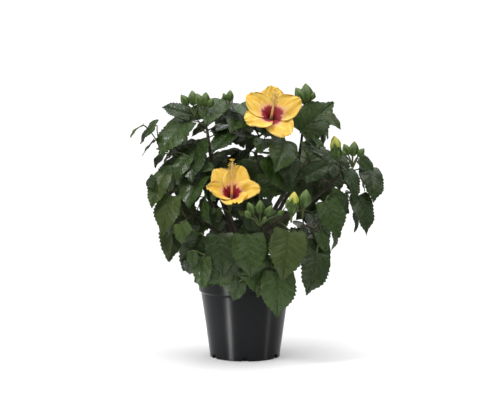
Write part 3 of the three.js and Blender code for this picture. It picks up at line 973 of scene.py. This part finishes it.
# ---- small green parts ----
def slim_blade(base, heading, facing, length, width, curl, rows=9, columns=5):
    """A narrow pointed blade, such as a sepal or bract, that curls towards its face."""
    along, across = np.linspace(0, 1, rows)[:, None], np.linspace(-1, 1, columns)[None, :]
    half = width / 2 * (0.45 + 0.55 * np.sin(math.pi * along**0.7)) * (1 - along**4) + 0.08
    x = across * half
    arc = along * curl + 1e-4
    y = length * np.sin(arc) / curl + 0 * across
    z = length * (1 - np.cos(arc)) / curl + 0.25 * np.abs(x)
    right = np.cross(heading, facing)
    return base + x[..., None] * right + y[..., None] * heading + z[..., None] * facing


def ring_of_blades(pile, centre, axis, radius, count, length, width, lean, curl, phase):
    """Blades set round an axis. lean is their angle from it, and they curl back towards it."""
    side = square_to(np.array([0.9, 0.2, 0.1]), axis)
    other = np.cross(axis, side)
    for k in range(count):
        angle = phase + 2 * math.pi * k / count + rng.normal(0, 0.08)
        out = side * math.cos(angle) + other * math.sin(angle)
        tilt = lean + rng.normal(0, 0.08)
        heading = axis * math.cos(tilt) + out * math.sin(tilt)
        facing = axis * math.sin(tilt) - out * math.cos(tilt)
        reach = length * rng.uniform(0.88, 1.1)
        blade = slim_blade(centre + out * radius, heading, facing, reach, width, curl)
        add_blade(pile, blade, 0.45)


def spindle(pile, foot, axis, length, width, belly, ribs, twist, sides=20, rings=18):
    """A closed pointed ovoid, widest at belly, with ribs that may wind round it."""
    share = np.linspace(0, 1, rings)
    line = foot + np.outer(share * length, axis)
    power = math.log(0.5) / math.log(belly)
    profile = np.sin(math.pi * np.clip(share, 0.004, 0.996) ** power) ** 0.8
    angle = np.arange(sides) * 2 * math.pi / sides
    ridge = 1 + 0.09 * np.cos(ribs * (angle[None, :] + twist * share[:, None]))
    add_tube(pile, line, (width / 2 * profile)[:, None] * ridge, sides)


def add_bud(foot, axis, length, width, ripe):
    """A bud on its receptacle: a ribbed calyx in a ring of bracts, and petals if it is ripe."""
    calyx_length = length * (0.62 if ripe else 1.0)
    spindle(calyxes.pile(), foot, axis, calyx_length, width * (0.9 if ripe else 1.0), 0.42, 5, 0.25)
    if ripe:
        spindle(furls.pile(), foot + axis * length * 0.22, axis, length * 0.8, width * 0.86, 0.5, 5, 2.2)
        rim, sepal, breadth = foot + axis * length * 0.3, length * 0.42, width * 0.42
        ring_of_blades(calyxes.pile(), rim, axis, width * 0.4, 5, sepal, breadth, 0.18, 0.5, 0.3)
    ring_of_blades(calyxes.pile(), foot, axis, width * 0.16, 7, length * 0.62, 1.7, 0.75, 0.8, 0.0)
    centre = foot + axis * length * 0.5
    taken.room(centre, max(width, length * 0.6) * 0.55 + 1.5, 60)


def bud_cluster(node, shares, sizes, ripe, spread, reach, lean):
    """Buds round the end of a shoot, in a leaning spiral, the biggest and ripest one first."""
    hub = within(node, *shares)
    shoot = unit(UP + np.array(lean))
    side = square_to(np.array([1.0, 0.1, 0.0]), shoot)
    other = np.cross(shoot, side)
    for k, length in enumerate(sizes):
        angle = k * GOLDEN_ANGLE + 0.6
        out = side * math.cos(angle) + other * math.sin(angle) * 0.7
        tilt = spread * math.sqrt(k / len(sizes))
        axis = unit(shoot * math.cos(tilt) + out * math.sin(tilt))
        centre = hub + out * tilt * reach - shoot * k * 1.6
        foot = centre - axis * length * 0.45
        start = hub - shoot * 24
        bend = start + (foot - start) * 0.55 + shoot * 2
        stalk = smooth_line([start, bend, foot - axis * 2, foot + axis], 9)
        add_tube(stalks.pile(), stalk, np.linspace(1.2, 1.0, 9), 7)
        add_bud(foot, axis, length, length * (0.52 if k < ripe else 0.66), k < ripe)


# ---- blooms ----
PETAL_ROWS, PETAL_COLUMNS = 34, 25
PETAL_SAMPLES = np.ix_(range(6, PETAL_ROWS, 4), range(0, PETAL_COLUMNS, 4))
PROFILE_STEPS = 200  # of the sum that turns a petal's tilt into its side view
THROAT_TILT, THROAT_RADIUS = 0.22, 2.4
RUFFLE = 1.9
BLOOMS = (
    # mass and foot in its box, axis, degrees of the petals round it from its right, their reach,
    # breadth, spread and recurve, the column's length, and how it bends
    ("foliage_top", (0.56, 0.34, 0.53), (0.10, -0.79, 0.61), (88, 146, 212, 300, 26),
     48, 43, 1.14, 0.12, 40, (2, 4, 12)),
    ("foliage_front_left", (0.52, 0.42, 0.42), (0.02, -0.70, 0.71), (70, 125, 195, 280, 350),
     46, 42, 0.88, 0.2, 50, (0, 8, 14)),
)


def petal_sheet(centre, axis, side, azimuth, reach, breadth, spread, recurve, phase):
    """One petal: up a narrow funnel, then out. Its upper face is the one that faces the throat."""

    def tilt_at(share):
        opened = THROAT_TILT + (spread - THROAT_TILT) * smooth_step(share / 0.42)
        return opened + recurve * smooth_step((share - 0.5) / 0.5)

    along = np.linspace(0, 1, PETAL_ROWS)[:, None]
    across = np.linspace(-1, 1, PETAL_COLUMNS)[None, :]
    place = along - 0.13 * across**2 * along**2
    tilt = tilt_at(place)
    steps = np.linspace(0, 1, PROFILE_STEPS)
    radial = THROAT_RADIUS + np.cumsum(np.sin(tilt_at(steps))) * reach / PROFILE_STEPS
    height = np.cumsum(np.cos(tilt_at(steps))) * reach / PROFILE_STEPS
    out, up = np.interp(place, steps, radial), np.interp(place, steps, height)
    half = breadth / 2 * (0.13 + 0.87 * smooth_step(along / 0.68))
    half = half * (1 - 0.42 * np.clip((along - 0.72) / 0.28, 0, 1) ** 2.2)
    swing = np.clip(across * half / np.maximum(out, THROAT_RADIUS), -1.25, 1.25)
    small_waves = np.sin(11.5 * across + 2 * phase + 2 * along) * 0.42 * np.abs(across)
    frill = RUFFLE * along**2 * (np.sin(5.2 * across + phase) * 0.8 + small_waves)
    frill = frill + RUFFLE * 0.55 * along**5 * np.sin(17 * across + 3 * phase)
    pleat = 0.28 * np.cos(26 * across) * np.sin(math.pi * along)
    pleat = pleat + 1.5 * across * smooth_step(along / 0.5)
    lift = frill + pleat
    other = np.cross(axis, side)
    angle = azimuth + swing
    ray = np.cos(angle)[..., None] * side + np.sin(angle)[..., None] * other
    normal = -ray * np.cos(tilt)[..., None] + axis * np.sin(tilt)[..., None]
    sheet = centre + ray * out[..., None] + axis * up[..., None] + normal * lift[..., None]
    return sheet[:, ::-1]


def smooth_step(value):
    value = np.clip(value, 0, 1)
    return value * value * (3 - 2 * value)


def add_ball(pile, centre, axis, length, width):
    spindle(pile, centre - axis * length / 2, axis, length, width, 0.5, 2, 0.0, 8, 7)


COLUMN_RINGS = 26
ANTHERS = 52
STIGMA = 4.0  # how far the style's branches reach beyond the column


def add_column(base, axis, length, bend):
    """The staminal column with its anthers, and the five branches of the style at its end."""
    end = base + axis * length + bend
    line = smooth_line([base, base + axis * length * 0.5, end], COLUMN_RINGS)
    add_tube(columns.pile(), line, np.linspace(1.9, 0.9, COLUMN_RINGS), 12)
    first, second, tangents = line_frames(line)
    for k in range(ANTHERS):
        at = int(16 + k * 9 / ANTHERS)
        angle = k * GOLDEN_ANGLE
        out = first[at] * math.cos(angle) + second[at] * math.sin(angle)
        start = line[at] + out * 0.8
        end = start + out * rng.uniform(2.4, 4.6) + tangents[at] * rng.uniform(0.2, 1.8)
        middle = (start + end) / 2 + tangents[at] * 0.4
        add_tube(columns.pile(), smooth_line([start, middle, end], 4), [0.22] * 4, 5)
        add_ball(anthers.pile(), end, unit(out + tangents[at] * 0.5), 1.7, 1.5)
    for k in range(5):
        angle = k * 2 * math.pi / 5
        out = first[-1] * math.cos(angle) + second[-1] * math.sin(angle)
        middle = line[-1] + tangents[-1] * STIGMA * 0.6
        end = line[-1] + tangents[-1] * STIGMA + out * 2.6
        add_tube(columns.pile(), smooth_line([line[-1], middle, end], 5), [0.4] * 5, 6)
        add_ball(anthers.pile(), end, tangents[-1], 2.0, 2.0)


def add_bloom(foot, axis, azimuths, reach, breadth, spread, recurve, column, bend):
    """An open bloom with its calyx. Returns the place where its stalk ends."""
    axis = unit(axis)
    side = square_to(np.array([1.0, 0.0, 0.0]), axis)
    for azimuth in azimuths:
        sheet = petal_sheet(
            foot, axis, side, math.radians(azimuth), reach * rng.uniform(0.96, 1.04), breadth,
            spread + rng.normal(0, 0.05), recurve + rng.normal(0, 0.08), rng.uniform(0, 6),
        )
        add_blade(petals.pile(), sheet, 0.4)
        taken.hold(sheet, PETAL_SAMPLES)
    taken.room(foot + axis * 26, 29, 70)
    add_column(foot + axis * 2, axis, column, np.array(bend, float))
    start = foot - axis * 9
    spindle(calyxes.pile(), start, axis, 17, 11, 0.4, 5, 0.1)
    ring_of_blades(calyxes.pile(), foot - axis * 3, axis, 4.2, 5, 19, 8.5, 0.62, 0.5, 0.4)
    ring_of_blades(calyxes.pile(), start + axis * 1.5, axis, 2.4, 7, 11, 1.8, 1.0, 0.9, 0.1)
    return start


def build_blooms():
    for mass, shares, *bloom in BLOOMS:
        foot = add_bloom(within(mass, *shares), *bloom)
        shoot = within(mass, *SHOOTS[mass])
        line = smooth_line([shoot, shoot + (foot - shoot) * 0.5 - UP * 2, foot], 10)
        add_tube(stalks.pile(), line, np.linspace(1.5, 1.3, 10), 8)


CLUSTERS = (  # mass and hub in its box, the buds' lengths, how many are ripe, spread, reach, lean
    ("foliage_left_top", (0.44, 0.42, 0.86), (20, 17, 12), 0, 0.8, 24, (-0.1, -0.1, 0)),
    ("foliage_left_top", (0.62, 0.3, 0.84), (19, 18, 14, 12), 0, 0.8, 20, (0.1, -0.1, 0)),
    ("foliage_left_top", (0.97, 0.5, 0.9), (15, 10), 0, 0.6, 16, (0.1, 0, 0)),
    ("foliage_right_top", (0.30, 0.58, 0.86), (27, 24, 11), 0, 0.75, 19, (-0.1, 0, 0)),
    ("foliage_right_outer", (0.07, 0.52, 0.88), (32, 11), 1, 0.4, 14, (-0.15, 0, 0)),
    ("foliage_right_outer", (0.40, 0.48, 0.88), (20, 16, 14, 12, 9), 0, 1.1, 20, (0.1, 0, 0)),
    ("foliage_front", (0.86, 0.35, 0.92), (29, 14), 1, 0.5, 16, (0.1, -0.1, 0)),
    ("foliage_front", (1.04, 0.5, 0.98), (24, 9), 0, 0.4, 16, (0.15, 0, 0)),
    ("foliage_front", (0.36, 0.32, 0.88), (18, 17, 16, 14, 12, 11, 10, 9), 0, 1.2, 28, (0, -0.1, 0)),
)


# ---- growing the foliage ----
FACE_LEAF = 40  # millimetres of a mass's face for each of its largest leaves
SHORTER = {  # for the masses whose lobes stand out too far, the share of their reach that is kept
    "foliage_left_low": 0.72,
    "foliage_side_left": 0.8,
    "foliage_right_low": 0.88,
}
CROWDED = 13  # the reach within which spray and cover_boughs count the blades' points
COVER_TRIES = 900
SPRAYS = (  # tries, depth under the surface, clearance, crowding that is allowed, lengths
    (4500, 1.0, 1.4, 20, (42, 58)),
    (4500, 9.0, 1.4, 22, (38, 54)),
    (4500, -3.0, 1.3, 22, (34, 48)),
    (2500, 18.0, 1.4, 24, (34, 48)),
    (5000, 4.0, 1.2, 30, (22, 36)),
)


def centroid(points, triangles):
    a, b, c = (points[triangles[:, k]] for k in range(3))
    volumes = np.einsum("ij,ij->i", a, np.cross(b, c))
    return ((a + b + c) / 4 * volumes[:, None]).sum(0) / volumes.sum()


def lobe_tips(node):
    """A mass's middle, and each lobe that stands out of it: its tip and its breadth."""
    points, triangles = node_mesh(node)
    hub = centroid(points, triangles)
    rays = points - hub
    reach = np.linalg.norm(rays, axis=1)
    found = []
    for k in np.argsort(-reach):
        heading = rays[k] / reach[k]
        if reach[k] < 1.15 * np.median(reach):
            break
        if any(heading @ other > math.cos(0.62) for _, other, _ in found):
            continue
        ahead = rays @ heading
        lateral = np.linalg.norm(rays - np.outer(ahead, heading), axis=1)
        beside = lateral[(ahead > 0.45 * reach[k]) & (lateral < 26)]
        found.append((points[k], heading, 2 * beside.max()))
    return hub, found


def pick_tone(height, outward):
    """Young bright leaves near the top of the crown, deep old ones low down and inside."""
    share = np.clip((height - GROUND) / 250, 0, 1)
    weights = np.array([1.3 - 0.4 * share, 1.6, 0.10 + 0.34 * share * outward, 0.16])
    return ("deep", "mid", "fresh", "olive")[rng.choice(4, p=weights / weights.sum())]


def leaf_facing(spot):
    """Blades turn to the light from above, and to the open front or back, whichever is nearer."""
    outward = unit(spot - CROWN_CENTRE)
    nearer = FRONT if spot[1] < CROWN_CENTRE[1] + 14 else -FRONT
    return unit(outward * 0.65 + UP * 0.35 + nearer * 0.75)


def try_lifted(base, tip, facing, width, tone, proud, lifts, tip_share):
    """Grows a leaf at the first of some heights over its place where nothing is in its way."""
    for lift in lifts:
        shift = facing * lift
        if try_leaf(base + shift, tip + shift * tip_share, facing, width, tone, LEAF_CLEAR, proud):
            return


def grow_faces():
    """The largest leaves: each mass hangs rows of them over its outer face, like a curtain."""
    for node in MASSES:
        low, middle, high = (within(node, share, share, share) for share in (0, 0.5, 1))
        facing = leaf_facing(middle)
        side = unit(np.cross(UP, facing))
        down = square_to(-UP, facing)
        across = np.abs(side) @ (high - low)
        columns, rows = (max(1, round(span / FACE_LEAF)) for span in (across * 0.8, high[2] - low[2]))
        for row, column in np.ndindex(rows, columns):
            start = middle + side * across * 0.8 * ((column + 0.5) / columns - 0.5 + rng.normal(0, 0.06))
            start[2] = low[2] + (high[2] - low[2]) * (row + 0.5) / rows
            hit = CROWN_TREE.ray_cast(Vector(start + facing * 90), Vector(-facing))[0]
            if hit is None:
                continue
            length = rng.uniform(50, 64)
            lean = rng.normal(0, 0.35)
            heading = unit(down * math.cos(lean) + side * math.sin(lean) + facing * 0.1)
            half = heading * length * 0.5
            base, tip = np.array(hit) - half, np.array(hit) + half
            width, tone = length * rng.uniform(0.68, 0.8), pick_tone(hit[2], 0.7)
            try_lifted(base, tip, facing, width, tone, 16, (1, 5, 9, -4, 13), 1)


def grow_lobes():
    """A twig into each lobe, with one leaf that fills the lobe to its tip."""
    for node in MASSES:
        hub, found = lobe_tips(node)
        grow_twig(hub, 2.0, 1.4)
        for tip, heading, breadth in found:
            tip = hub + (tip - hub) * SHORTER.get(node, 1.0)
            length = np.clip(24 + 0.85 * breadth, 34, 62)
            width = np.clip(breadth * 1.05, 0.5 * length, 0.76 * length)
            base = tip - heading * length
            facing = leaf_facing(tip - heading * length / 2)
            grow_twig(hub + (base - hub) * 0.5 - facing * 6, 1.6, 1.0)
            tone = pick_tone(tip[2], 1)
            try_lifted(base, tip, facing, width, tone, 18, (3, 6, 0, 9, 12, -4), 0.7)


def spray(count, depth, clearance, crowding, sizes):
    """Leaves over the masses' surface wherever it is still bare, like shingles, tips outward."""
    edges = np.cross(CROWN_FACES[:, 1] - CROWN_FACES[:, 0], CROWN_FACES[:, 2] - CROWN_FACES[:, 0])
    areas = np.linalg.norm(edges, axis=1)
    for _ in range(count):
        face = rng.choice(len(areas), p=areas / areas.sum())
        u, v = np.sort(rng.random(2))
        first, second, third = CROWN_FACES[face]
        spot = first * u + second * (v - u) + third * (1 - v)
        normal = unit(edges[face])
        outward = unit(spot - CROWN_CENTRE)
        spot = spot - normal * depth
        if outside_by(spot + outward * 25) < 0 and depth < 12:
            continue
        facing = unit(leaf_facing(spot) * 0.6 + outward * 0.7 + normal * 0.35 + rng.normal(0, 0.16, 3))
        downhill = square_to(-UP + outward * 0.45, facing)
        sideways = np.cross(facing, downhill)
        turn = rng.normal(0, 0.55)
        heading = unit(downhill * math.cos(turn) + sideways * math.sin(turn) + facing * 0.12)
        length = rng.uniform(*sizes)
        if len(taken.near(spot[None], CROWDED)) > crowding:
            continue
        base, tip = spot - heading * length * 0.45, spot + heading * length * 0.55
        tone = pick_tone(spot[2], 1 if depth < 8 else 0)
        try_leaf(base, tip, facing, length * rng.uniform(0.58, 0.76), tone, clearance)


def cover_boughs():
    """Leaves on short shoots of the boughs' lower parts, which hide the bare wood."""
    for _ in range(COVER_TRIES):
        line, _ = limb_line(BOUGHS[rng.integers(len(BOUGHS))])
        root = line[rng.integers(2, len(line) * 2 // 3)]
        level = (root - CROWN_CENTRE) * np.array([1.0, 1.0, 0.0])
        outward = unit(level + FRONT * rng.choice((9, 9, -9)))
        spot = root + outward * rng.uniform(10, 30)
        facing = unit(outward + UP * 0.35 + rng.normal(0, 0.15, 3))
        downhill = square_to(-UP + rng.normal(0, 0.35, 3), facing)
        length = rng.uniform(34, 50)
        base, tip = spot - downhill * length * 0.5, spot + downhill * length * 0.5
        if spot[2] > GROUND + 14 and len(taken.near(spot[None], CROWDED)) < 20:
            width, tone = length * rng.uniform(0.62, 0.76), pick_tone(spot[2], 0.4)
            try_leaf(base, tip, facing, width, tone, LEAF_CLEAR, 25)


# ---- pot and soil ----
POT_FOOT, POT_SHOULDER, POT_COLLAR = 47.5, 59.3, 62.0  # radii from the foot up
POT_WALL = 1.7
NOTCHES, NOTCH_WIDTH, NOTCH_HEIGHT = 6, 9.0, 5.2
SOIL_INSET = 5.6  # from the pot's rim to the soil's edge
SOIL_DISH = 2.0  # how much lower the soil lies at its edge than in its middle
SOIL_WAVES = (11, 7, 4.3, 2.9, 2.1, 1.5)  # sizes of its lumps
CHIPS = 190  # pieces of bark and perlite on it


def add_turned(pile, profile, sides, shape):
    """A closed turned body. profile runs from the axis below, up the outside, back to the axis.

    shape moves the points of the turned rings.
    """
    profile = np.asarray(profile, float)
    angle = np.arange(sides) * 2 * math.pi / sides
    x = profile[:, :1] * np.cos(angle)
    y = profile[:, :1] * np.sin(angle)
    z = profile[:, 1:] + 0 * x
    ring = shape(np.stack([x, y, z], axis=-1))
    ends = ring[[0, -1]].mean(axis=1)
    pile.add(np.concatenate([ring.reshape(-1, 3), ends]), *tube_faces(len(profile), sides))


def rounded(corners, radius=0.7, steps=4):
    """An outline with each inner corner turned into a small arc."""
    corners = [np.array(c, float) for c in corners]
    points = [corners[0]]
    for before, corner, after in zip(corners, corners[1:], corners[2:]):
        back, on = before - corner, after - corner
        cut = min(radius, np.linalg.norm(back) / 2.1, np.linalg.norm(on) / 2.1)
        start, end = corner + unit(back) * cut, corner + unit(on) * cut
        for t in np.linspace(0, 1, steps):
            points.append(start * (1 - t) ** 2 + corner * 2 * t * (1 - t) + end * t**2)
    return points + [corners[-1]]


def build_pot():
    """A moulded nursery pot with a stepped collar, a lip and drain notches."""
    foot, shoulder, collar, rim, top = POT_FOOT, POT_SHOULDER, POT_COLLAR, POT_RIM, POT_TOP
    outside = [
        (1, 0), (foot - 6, 0), (foot - 0.2, 0), (foot + 0.1, 5.4), (shoulder, 87), (collar, 89.6),
        (rim - 2.0, top - 4.4), (rim, top - 3.6), (rim, top),
    ]
    inside = [
        (rim - POT_WALL, top), (rim - 3.6, top - 4), (collar - POT_WALL, 89), (shoulder - POT_WALL, 86),
        (foot - POT_WALL, 8), (1, 8),
    ]
    profile = rounded(outside + inside)

    def notch(ring):
        angle = np.arctan2(ring[..., 1], ring[..., 0])
        turn = (angle / (2 * math.pi) * NOTCHES) % 1 - 0.5
        wide = np.abs(turn) * 2 * math.pi / NOTCHES * foot < NOTCH_WIDTH / 2
        low = (ring[..., 2] < NOTCH_HEIGHT) & (np.hypot(ring[..., 0], ring[..., 1]) > foot - 5)
        ring[..., 2] = np.where(wide & low, NOTCH_HEIGHT, ring[..., 2])
        return ring

    pot = Piles("nursery_pot", pot_material(), "pot_plastic", ["pot"])
    add_turned(pot.pile(), profile, 240, notch)
    pot.build()


def build_soil():
    """Crumbed peat with a sunken edge, and pieces of bark and perlite on it."""
    top_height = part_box("potting_soil")[1].z / MM
    edge = POT_RIM - SOIL_INSET
    radii = np.linspace(edge - 0.4, 1, 40)
    outer = [(radius, top_height - 0.6 - SOIL_DISH * (radius / edge) ** 2) for radius in radii]
    profile = [(1, 60), (edge - 6, 60), (edge - 2.6, 88), *outer]
    waves = rng.uniform(0, 2 * math.pi, (6, 2))
    grain = rng.normal(0, 0.55, (len(profile), 180))

    def crumbs(ring):
        x, y = ring[..., 0], ring[..., 1]
        relief = sum(
            np.sin(x / scale + p) * np.sin(y / scale + q)
            for scale, (p, q) in zip(SOIL_WAVES, waves)
        )
        top = ring[..., 2] > top_height - 4
        fade = np.clip(np.hypot(x, y) / 20, 0.2, 1)  # finer towards the middle, where points are dense
        ring[..., 2] += np.where(top, 0.35 * relief + grain * fade, 0)
        return ring

    peat = crumb_material("peat", (0.012, 0.008, 0.005), (0.055, 0.036, 0.022), 60.0)
    soil = Piles("potting_mix", peat, "soil", ["potting_soil"])
    add_turned(soil.pile(), profile, 180, crumbs)
    soil.build()
    bark = crumb_material("chip_bark", (0.05, 0.03, 0.016), (0.15, 0.09, 0.05), 7.0)
    white_grain = crumb_material("perlite_white", (0.45, 0.43, 0.40), (0.72, 0.70, 0.66), 9.0)
    chips = Piles("bark_chips", bark, "soil")
    grit = Piles("perlite", white_grain, "soil")
    for k in range(CHIPS):
        radius = edge * math.sqrt(rng.uniform(0.04, 0.93))
        angle = k * GOLDEN_ANGLE
        height = top_height - 0.4 - SOIL_DISH * (radius / edge) ** 2
        centre = np.array([radius * math.cos(angle), radius * math.sin(angle), height])
        axis = unit(np.array([*rng.normal(0, 1, 2), rng.normal(0, 0.35)]))
        white = k % 5 == 0
        length = rng.uniform(1.6, 3.0) if white else rng.uniform(4, 11)
        width = length * (0.9 if white else rng.uniform(0.3, 0.5))
        pile, twist = (grit if white else chips).pile(), rng.uniform(-1, 1)
        spindle(pile, centre - axis * length / 2, axis, length, width, 0.45, 3, twist, 9, 8)
    chips.build()
    grit.build()


def build_floor():
    """A round sheet of pale paper, so bright at its edge that it ends in the white backdrop."""
    mesh = bpy.data.meshes.new("floor")
    turn = np.linspace(0, 2 * math.pi, 97)[:-1]
    edge = [(FLOOR_RADIUS * math.cos(a), FLOOR_RADIUS * math.sin(a), 0) for a in turn]
    mesh.from_pydata(edge, [], [tuple(range(len(edge)))])
    floor = add_object("floor", mesh)
    paper = bpy.data.materials.new("floor_paper")
    paper.use_nodes = True
    surface = paper.node_tree.nodes["Principled BSDF"]
    surface.inputs["Base Color"].default_value = (0.88, 0.88, 0.88, 1)
    surface.inputs["Roughness"].default_value = 0.9
    surface.inputs["Specular IOR Level"].default_value = 0.1
    mesh.materials.append(paper)


# ---- the whole plant ----
make_camera()
make_studio()
build_floor()
build_pot()
build_soil()
build_limbs()
build_blooms()
for cluster in CLUSTERS:
    bud_cluster(*cluster)
grow_faces()
grow_lobes()
cover_boughs()
for plan in SPRAYS:
    spray(*plan)
for kind in (*LEAVES.values(), twigs, stalks, limbs, calyxes, furls, petals, columns, anthers):
    kind.build()
